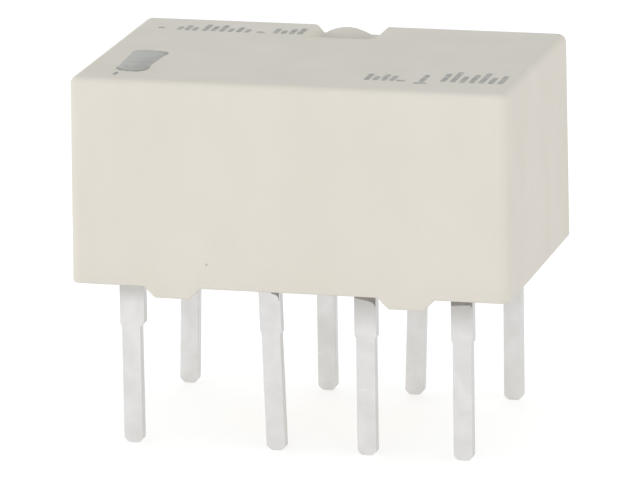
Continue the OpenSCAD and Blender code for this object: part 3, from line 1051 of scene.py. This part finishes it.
@dataclass
class RoofPrint:
    """What is printed on the roof: the orientation mark, and short strokes along both long edges."""

    top: float = PLAN.top
    film: float = 0.006
    soft: float = 0.008
    mark: tuple[Point2, ...] = ((-4.15, -2.16), (-4.02, -2.36), (-3.66, -2.42), (-3.48, -2.24), (-3.46, -1.5),
                                (-3.44, -0.9), (-3.4, -0.62), (-3.46, -0.4), (-3.72, -0.3), (-4.1, -0.26),
                                (-4.24, -0.4), (-4.2, -1.3))
    mark_round: float = 0.12
    front_line: tuple[Point2, ...] = ((-4.16, -2.06), (-4.1, -2.2), (-3.98, -2.32), (-3.8, -2.37),
                                      (-3.62, -2.38), (-3.51, -2.27), (-3.46, -2.1), (-3.45, -1.9))
    front_width: float = 0.075
    corner_line: tuple[Point2, ...] = ((-3.68, -0.36), (-3.56, -0.42), (-3.46, -0.52), (-3.42, -0.66))
    corner_width: float = 0.13
    line_end: float = 0.35
    line_levels: Point2 = (0.5, 1.4)
    speck: Bar = Bar(-4.02, -2.67, 0.09, 0.26)
    bar_round: float = 0.48
    round_steps: int = 5
    rear: tuple[Strokes | Bar, ...] = (
        Strokes(-3.84, 1.9, 0.18, (0.34, 0.5, 0.34)),
        Strokes(-3.24, 1.9, 0.2, (0.66, 0.5, 0.66, 0.34, 0.5, 0.34)),
        Strokes(-1.58, 1.92, 0.19, (0.5, 0.34, 0.5, 0.62)),
        Bar(-4.28, 2.06, 0.16, 0.12),
        Bar(-1.92, 1.98, 0.2, 0.12))
    front: tuple[Strokes | Bar, ...] = (
        Strokes(1.6, -2.3, 0.19, (0.6, 0.4, 0.6, 0.5)),
        Bar(2.38, -2.24, 0.22, 0.12),
        Strokes(2.84, -2.3, 0.2, (0.7,)),
        Bar(2.84, -2.4, 0.3, 0.1),
        Strokes(3.3, -2.2, 0.215, (0.8, 1.0, 0.6, 0.8, 1.0, 0.6, 0.8)))

    def plate(self, mesh: Mesh, outline: Sequence[Point2]) -> None:
        """A thin film of ink with a sloping edge.

        Args:
            mesh: Mesh that gets the film.
            outline: Corners of the film.
        """
        cx = sum(x for x, _ in outline) / len(outline)
        cy = sum(y for _, y in outline) / len(outline)
        upper = []
        for x, y in outline:
            part = max(0.0, 1 - self.soft / math.hypot(x - cx, y - cy))
            upper.append((cx + (x - cx) * part, cy + (y - cy) * part, self.top + self.film))
        mesh.solid([[(x, y, self.top - self.film / 2) for x, y in outline], upper])

    def rounded(self, corners: Sequence[Point2], radius: float) -> list[Point2]:
        """Round the corners of an outline.

        Args:
            corners: Corners of the outline.
            radius: Distance from a corner at which the curve starts.

        Returns:
            The rounded outline.
        """
        out = []
        for i, here in enumerate(corners):
            before = Vector(corners[i - 1])
            after = Vector(corners[(i + 1) % len(corners)])
            point = Vector(here)
            start = point + (before - point).normalized() * min(radius, (before - point).length / 2)
            end = point + (after - point).normalized() * min(radius, (after - point).length / 2)
            for t in span(0, 1, self.round_steps):
                out.append(tuple(start.lerp(point, t).lerp(point.lerp(end, t), t)))
        return out

    def bar(self, mesh: Mesh, bar: Bar) -> None:
        """Print one bar.

        Args:
            mesh: Mesh that gets the bar.
            bar: Its place and size.
        """
        u = bar.width / 2
        v = bar.height / 2
        corners = [(bar.x + s * u, bar.y + t * v) for s, t in CORNERS]
        self.plate(mesh, self.rounded(corners, min(bar.width, bar.height) * self.bar_round))

    def line(self, mesh: Mesh, route: Sequence[Point2], width: float) -> None:
        """Print a line of even width, on top of the mark.

        Args:
            mesh: Mesh that gets the line.
            route: Points of its middle.
            width: Its width.
        """
        last = len(route) - 1
        left = []
        right = []
        for i, here in enumerate(route):
            ahead = Vector(route[min(i + 1, last)]) - Vector(route[max(i - 1, 0)])
            side = Vector((-ahead.y, ahead.x)).normalized() * width / 2
            taper = self.line_end if i in (0, last) else 1.0
            left.append(tuple(Vector(here) + side * taper))
            right.append(tuple(Vector(here) - side * taper))
        for corners in zip(left, left[1:], right[1:], right):
            mesh.solid([[(*corner, self.top + self.film * level) for corner in corners]
                        for level in self.line_levels])

    def build(self) -> None:
        """Print the mark with its dense edge and speck, and the strokes along both long edges."""
        mark = Mesh()
        self.plate(mark, self.rounded(self.mark, self.mark_round))
        mark.piece("orientation_mark", Finish.MARK, "case_plastic")
        edge = Mesh()
        self.line(edge, self.front_line, self.front_width)
        self.line(edge, self.corner_line, self.corner_width)
        self.bar(edge, self.speck)
        edge.piece("orientation_mark_edge", Finish.MARK_EDGE, "case_plastic")
        for name, groups in (("rear_print", self.rear), ("front_print", self.front)):
            mesh = Mesh()
            for group in groups:
                for bar in group.bars() if isinstance(group, Strokes) else [group]:
                    self.bar(mesh, bar)
            mesh.piece(name, Finish.PRINT, "case_plastic", smooth=False)


@dataclass(frozen=True)
class Collar:
    """How far the resin creeps along the front and the rear terminal at one place along the case.

    The ear is how much further the terminal's shoulder reaches on its +X side.
    """

    x: float
    front: float
    rear: float
    ear: float = 0.0


@dataclass
class Sealing:
    """How the poured resin creeps up the case wall and the terminals before it sets."""

    level: float = 0.3
    sunk: float = 0.012
    wall_gap: float = 0.012
    half_x: float = PLAN.half_x - PLAN.wall - wall_gap
    half_y: float = PLAN.half_y - PLAN.wall - wall_gap
    corner: float = 0.14
    least_corner: float = 0.02
    wall_climb: float = 0.036
    wall_reach: float = 0.13
    row: float = PLAN.row
    half_shoulder: float = 0.25
    half_strip: float = PLAN.strip / 2
    skin: float = 0.008
    collars: tuple[Collar, ...] = (Collar(-3.8, 0.13, 0.11, 0.06), Collar(-0.6, 0.1, 0.13),
                                   Collar(1.6, 0.12, 0.1), Collar(3.8, 0.11, 0.14))
    arc_steps: int = 6
    corner_steps: int = 4

    def loop(self, middle: Point2, half: Point2, r: float, z: float) -> list[Point3]:
        """A rounded rectangle at one level.

        Args:
            middle: Its middle.
            half: Half of its length and width.
            r: Radius of its corners.
            z: Its level.

        Returns:
            The points, in one direction round.
        """
        out = []
        for quarter, (sx, sy) in enumerate(((1, 1), (-1, 1), (-1, -1), (1, -1))):
            for angle in span(90 * quarter, 90 * quarter + 90, self.corner_steps):
                t = math.radians(angle)
                out.append((middle[0] + sx * (half[0] - r) + r * math.cos(t),
                            middle[1] + sy * (half[1] - r) + r * math.sin(t), z))
        return out

    @staticmethod
    def hoop(mesh: Mesh, rings: list[list[Point3]]) -> None:
        """Skin a row of rings and join the last one to the first."""
        rows = mesh.loft(rings)
        mesh.bridge(rows[-1], rows[0])

    def wall_fillet(self, mesh: Mesh) -> None:
        """The hollow fillet where the resin meets the case.

        Args:
            mesh: Mesh that gets the fillet.
        """
        def ring(away: float, z: float) -> list[Point3]:
            """The resin's edge, moved in from the wall."""
            half = (self.half_x - away, self.half_y - away)
            return self.loop((0.0, 0.0), half, max(self.least_corner, self.corner - away), z)

        rings = [ring(0.0, self.level + self.sunk)]
        rings += [ring(self.wall_reach * (1 - math.cos(t)), self.level - self.wall_climb * (1 - math.sin(t)))
                  for t in quarter_turn(self.arc_steps)]
        rings.append(ring(self.wall_reach, self.level + self.sunk))
        self.hoop(mesh, rings)

    def collar(self, mesh: Mesh, x: float, y: float, ear: float, climb: float) -> None:
        """The hollow collar of resin round one terminal.

        Args:
            mesh: Mesh that gets the collar.
            x: Middle of the terminal along the case.
            y: Middle of the terminal across the case.
            ear: How much further the shoulder reaches on its +X side.
            climb: How far the resin creeps along the terminal.
        """
        def ring(away: float, z: float) -> list[Point3]:
            """The shoulder's section, grown by a distance."""
            half = (self.half_shoulder + ear / 2 + away, self.half_strip + away)
            return self.loop((x + ear / 2, y), half, max(self.least_corner, self.least_corner + away), z)

        hollow = climb - self.skin
        rings = [ring(climb, self.level + self.sunk)]
        rings += [ring(self.skin + hollow * (1 - math.sin(t)), self.level - climb * (1 - math.cos(t)))
                  for t in quarter_turn(self.arc_steps)]
        rings += [ring(-self.skin, self.level - climb + self.sunk), ring(-self.skin, self.level + self.sunk)]
        self.hoop(mesh, rings)

    def build(self) -> None:
        """Build the fillet along the wall and the eight collars."""
        fillet = Mesh()
        self.wall_fillet(fillet)
        fillet.piece("resin_wall_fillet", Finish.RESIN, "resin")
        for name, y in (("front", -self.row), ("rear", self.row)):
            mesh = Mesh()
            for collar in self.collars:
                self.collar(mesh, collar.x, y, collar.ear, getattr(collar, name))
            mesh.piece(f"resin_collars_{name}", Finish.RESIN, "resin")


@dataclass
class PaintedShadowBands:
    """Painted shadow: a dark film on three front terminals right under the case, where the case's lower edge
    and feet shade them.
    """

    face: float = -PLAN.row - PLAN.strip / 2
    film: float = 0.006
    top: float = 0.16
    # Lower edge of the painted shadow on each terminal, by the terminal's middle along the case.
    lines: tuple[tuple[float, tuple[Point2, ...]], ...] = (
        (-0.6, ((0.06, 0.075), (0.16, 0.05), (0.215, 0.0), (0.235, -0.1))),
        (1.6, ((-0.235, 0.07), (-0.05, 0.035), (0.1, 0.008), (0.19, -0.03), (0.235, -0.11))),
        (3.8, ((-0.235, 0.0), (-0.08, 0.012), (0.08, 0.028), (0.19, 0.03), (0.235, -0.02))))

    def build(self) -> None:
        """Build the painted shadow as thin films on the terminals' front faces, down to its lower edges."""
        mesh = Mesh()
        for middle, line in self.lines:
            outline = [*line, (line[-1][0], self.top), (line[0][0], self.top)]
            mesh.solid([[(middle + x, y, z) for x, z in outline]
                        for y in (self.face + self.film, self.face - self.film)])
        mesh.piece("painted_shadow_bands", Finish.SHADOW_PAINT, "tinned_terminal", smooth=False)


@dataclass
class CoilWires:
    """The coil's wire: close turns in both chambers, the wire between them, and the leads to the terminals.

    The routes are for the +Y side, from the coil to the terminal, and for the wire between the chambers.
    """

    level: float = 1.95
    radius: float = 1.03
    near: float = 0.69
    far: float = 2.86
    wire: float = 0.06
    wire_steps: int = 24
    wire_sides: int = 6
    drum_sunk: float = 0.2
    drum_sides: int = 32
    lead: float = 0.1
    lead_steps: int = 8
    lead_sides: int = 10
    lead_route: tuple[Point3, ...] = ((-2.58, 0.875, 2.25), (-2.98, 0.975, 2.25), (-3.35, 0.975, 2.3),
                                      (-3.7, 1.02, 2.36), (-3.78, 1.5, 2.48), (-3.8, 2.345, 2.7))
    link_route: tuple[Point3, ...] = ((-0.9, -1.015, 1.95), (0.0, -1.035, 1.95), (0.9, -1.015, 1.95))

    def around(self, x: float, r: float, t: float) -> Vector:
        """Point round the coil's middle line, by its place along it, its distance from it and an angle."""
        return Vector((x, r * math.cos(t), self.level + r * math.sin(t)))

    def turns(self, mesh: Mesh, side: int) -> None:
        """One chamber: a layer of turns on the layers below, which are one smooth drum.

        Args:
            mesh: Mesh that gets the chamber.
            side: -1 or 1, the end of the coil.
        """
        r = self.radius - self.wire / 2
        count = round((self.far - self.near) / self.wire) - 1
        start = self.near + self.wire / 2
        pitch = (self.far - self.near - self.wire) / count
        steps = self.wire_steps
        route = [self.around(side * (start + pitch * i / steps), r, 2 * math.pi * i / steps)
                 for i in range(count * steps + 1)]
        mesh.tube(route, self.wire / 2, self.wire_sides)
        inner = r - self.wire * self.drum_sunk
        mesh.solid([[self.around(side * x, inner, t) for t in full_turn(self.drum_sides)]
                    for x in (self.near, self.far)])

    def thick_wire(self, mesh: Mesh, corners: Sequence[Point3]) -> None:
        """A thick wire on a smooth curve through the corners of a route.

        Args:
            mesh: Mesh that gets the wire.
            corners: Corners of the route.
        """
        points = [Vector(corner) for corner in corners]
        ends = [points[0] * 2 - points[1], *points, points[-1] * 2 - points[-2]]
        route = []
        for a, b, c, d in zip(ends, ends[1:], ends[2:], ends[3:]):
            for t in span(0, 1, self.lead_steps)[:-1]:
                route.append(0.5 * (b * 2 + (c - a) * t + (a * 2 - b * 5 + c * 4 - d) * t * t
                                    + (b * 3 - a - c * 3 + d) * t ** 3))
        mesh.tube([*route, points[-1]], self.lead / 2, self.lead_sides)

    def build(self) -> None:
        """Build the wires, which stand for the plain winding."""
        mesh = Mesh()
        for side in (-1, 1):
            self.turns(mesh, side)
            self.thick_wire(mesh, [(x, side * y, z) for x, y, z in self.lead_route])
        self.thick_wire(mesh, self.link_route)
        mesh.piece("coil_wires", Finish.WIRE, "copper_wire", instead_of="coil_winding")


@dataclass
class Dressing:
    """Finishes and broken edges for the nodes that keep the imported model's shape."""

    weld: float = 0.0005
    least_angle: float = 28.0
    edge_steps: int = 3
    spring_steps: int = 2
    face_weight: int = 100
    terminal_edge: float = 0.03
    contact_edge: float = 0.02
    bar_edge: float = 0.01
    spring_edge: float = 0.012
    terminals: tuple[str, ...] = ("coil", "break", "common", "make")
    contacts: tuple[str, ...] = ("break", "make")
    single: tuple[tuple[str, Finish, float], ...] = (
        ("base_block", Finish.BASE, 0.03), ("seal_resin", Finish.RESIN, 0.01),
        ("coil_bobbin", Finish.BOBBIN, 0.025), ("iron_core", Finish.IRON, 0.04),
        ("permanent_magnet", Finish.MAGNET, 0.03), ("armature_plate", Finish.IRON, 0.03),
        ("armature_carrier", Finish.CARRIER, 0.03))

    def wear(self, node: str, finish: Finish, bevel: float, steps: int) -> None:
        """Give a node its finish and round its edges.

        Args:
            node: Name of the node.
            finish: Its finish.
            bevel: Width of the rounding, in millimetres.
            steps: Number of steps in the rounding.
        """
        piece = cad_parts[node]
        piece.material_slots[0].material = finish.material()
        weld = piece.modifiers.new("weld", "WELD")
        weld.merge_threshold = self.weld * MM
        rounding = piece.modifiers.new("broken edges", "BEVEL")
        rounding.width = bevel * MM
        rounding.segments = steps
        rounding.limit_method = "ANGLE"
        rounding.angle_limit = math.radians(self.least_angle)
        rounding.use_clamp_overlap = True
        normals = piece.modifiers.new("face normals", "WEIGHTED_NORMAL")
        normals.weight = self.face_weight
        LOG.info("%s: %s, edges %.3f mm", node, finish.name.lower(), bevel)

    def build(self) -> None:
        """Dress every node that isn't replaced."""
        # Three front terminals take tin with painted shade under the case.
        painted_shade_tops = {"coil_terminal_front": Finish.TIN_LIGHT_PAINTED_SHADE, "common_terminal_front": Finish.TIN_PAINTED_SHADE,
                "make_terminal_front": Finish.TIN_PAINTED_SHADE}
        for end in ("front", "rear"):
            for kind in self.terminals:
                node = f"{kind}_terminal_{end}"
                self.wear(node, painted_shade_tops.get(node, Finish.TIN), self.terminal_edge, self.edge_steps)
            for kind in self.contacts:
                self.wear(f"{kind}_contact_{end}", Finish.SILVER, self.contact_edge, self.edge_steps)
                self.wear(f"{kind}_moving_contact_{end}", Finish.SILVER, self.bar_edge, self.edge_steps)
            self.wear(f"moving_spring_{end}", Finish.SPRING, self.spring_edge, self.spring_steps)
        for node, finish, bevel in self.single:
            self.wear(node, finish, bevel, self.edge_steps)


@dataclass(frozen=True)
class Lamp:
    """A soft oblong lamp that faces the relay and doesn't show in its metal.

    Its level is the light on a surface that faces it, where 1 shows a colour as written.
    """

    name: str
    azimuth: float
    elevation: float
    width: float
    height: float
    level: float
    color: Color
    distance: float = 300.0

    def build(self) -> None:
        """Place the lamp."""
        away = towards(self.azimuth, self.elevation)
        data = bpy.data.lights.new(self.name, "AREA")
        data.shape = "RECTANGLE"
        data.size = self.width * MM
        data.size_y = self.height * MM
        data.energy = self.level * (math.pi * self.distance * MM) ** 2
        data.color = self.color
        lamp = bpy.data.objects.new(self.name, data)
        lamp.location = away * self.distance * MM
        lamp.rotation_euler = away.to_track_quat("Z", "Y").to_euler()
        lamp.visible_glossy = False
        show(lamp)


@dataclass
class Studio:
    """A pale floor, a white surround, soft light and the camera at the photograph's viewing angle."""

    width_px: int = 640
    height_px: int = 480
    azimuth: float = 14.4458
    elevation: float = 14.5325
    roll: float = -0.8977
    distance: float = 146.02
    focal_px: float = 6465.56
    aim_px: Point2 = (324.42, 268.40)
    sensor: float = 36.0
    clip: Point2 = (10.0, 20000.0)
    floor_z: float = -3.55
    floor_half: float = 1500.0
    floor_color: Color = (0.8, 0.8, 0.8)
    floor_roughness: float = 0.9
    floor_glow: float = 0.51
    floor_mirrored: float = 0.52
    sky_light: Color = (0.525, 0.555, 0.565)
    white: Color = (1.0, 1.0, 1.0)
    lamps: tuple[Lamp, ...] = (
        Lamp("front softbox", 4.0, 5.0, 560.0, 100.0, 0.505, (1.0, 0.965, 0.965)),
        Lamp("right fill", 80.0, 8.0, 360.0, 200.0, 0.38, (1.0, 0.915, 0.91)),
        Lamp("left fill", -72.0, 6.0, 340.0, 120.0, 0.48, (1.0, 0.965, 0.965)),
        Lamp("rear fill", 205.0, 14.0, 360.0, 200.0, 0.3, (1.0, 0.985, 0.965)))

    def camera(self) -> None:
        """Place the camera."""
        back = towards(self.azimuth, self.elevation)
        a = math.radians(self.azimuth)
        r = math.radians(self.roll)
        right = Vector((math.cos(a), math.sin(a), 0))
        up = right.cross(-back)
        turned_right = right * math.cos(r) + up * math.sin(r)
        turned_up = up * math.cos(r) - right * math.sin(r)
        data = bpy.data.cameras.new("camera")
        data.sensor_width = self.sensor
        data.lens = self.focal_px * self.sensor / self.width_px
        data.shift_x = (self.width_px / 2 - self.aim_px[0]) / self.width_px
        data.shift_y = (self.aim_px[1] - self.height_px / 2) / self.width_px
        data.clip_start = self.clip[0] * MM
        data.clip_end = self.clip[1] * MM
        camera = bpy.data.objects.new("camera", data)
        axes = Matrix((turned_right, turned_up, back)).transposed()
        camera.matrix_world = Matrix.Translation(back * self.distance * MM) @ axes.to_4x4()
        show(camera)
        bpy.context.scene.camera = camera

    def white_to_the_eye(self, tree: bpy.types.NodeTree, direct: float, mirrored: float) -> Socket:
        """White level of a ray that comes from the camera or from a reflection.

        Args:
            tree: Node tree that gets the nodes.
            direct: Level that the camera sees.
            mirrored: Level that metal and gloss see.

        Returns:
            The socket with the level, 0 for any other ray.
        """
        rays = make(tree, "LightPath", {}).outputs
        seen = make(tree, "Math", {0: rays["Is Camera Ray"], 1: direct}, operation="MULTIPLY").outputs[0]
        for name in ("Is Glossy Ray", "Is Transmission Ray"):
            reflected = make(tree, "Math", {0: rays[name], 1: mirrored}, operation="MULTIPLY").outputs[0]
            seen = make(tree, "Math", {0: seen, 1: reflected}, operation="MAXIMUM").outputs[0]
        return seen

    def surround(self) -> None:
        """White to the camera and to reflections, soft sky light on the object."""
        world = bpy.data.worlds.new("surround")
        world.use_nodes = True
        tree = world.node_tree
        light = tree.nodes["Background"]
        light.inputs["Color"].default_value = (*self.sky_light, 1)
        white = make(tree, "Background", {"Color": (*self.white, 1)})
        seen = self.white_to_the_eye(tree, 1.0, 1.0)
        mix = make(tree, "MixShader", {"Fac": seen, 1: light.outputs[0], 2: white.outputs[0]})
        tree.links.new(mix.outputs[0], tree.nodes["World Output"].inputs["Surface"])
        bpy.context.scene.world = world

    def paint(self) -> bpy.types.Material:
        """The floor's paint, which glows for the camera and for reflections.

        Returns:
            The material.
        """
        material = bpy.data.materials.new("pale floor")
        material.use_nodes = True
        tree = material.node_tree
        paint = tree.nodes["Principled BSDF"]
        paint.inputs["Base Color"].default_value = (*self.floor_color, 1)
        paint.inputs["Roughness"].default_value = self.floor_roughness
        paint.inputs["Specular IOR Level"].default_value = 0.0
        seen = self.white_to_the_eye(tree, self.floor_glow, self.floor_mirrored)
        glow = make(tree, "Emission", {"Color": (*self.white, 1), "Strength": seen})
        both = make(tree, "AddShader", {0: paint.outputs[0], 1: glow.outputs[0]})
        tree.links.new(both.outputs[0], tree.nodes["Material Output"].inputs["Surface"])
        return material

    def floor(self) -> None:
        """A pale floor under the terminals that shows a soft shadow."""
        mesh = Mesh()
        mesh.cap(mesh.points([(s * self.floor_half, t * self.floor_half, self.floor_z) for s, t in CORNERS]))
        data = mesh.data("floor")
        floor = bpy.data.objects.new("floor", data)
        show(floor)
        data.materials.append(self.paint())

    def build(self) -> None:
        """Set up the studio."""
        self.camera()
        self.surround()
        self.floor()
        for lamp in self.lamps:
            lamp.build()
        bpy.context.scene.view_settings.view_transform = "Standard"


def main() -> None:
    """Build the relay and its studio."""
    logging.basicConfig(level=logging.INFO, format="%(message)s")
    Studio().build()
    CaseShell().build()
    RoofPrint().build()
    Sealing().build()
    PaintedShadowBands().build()
    CoilWires().build()
    Dressing().build()


if __name__ == "__main__":
    main()
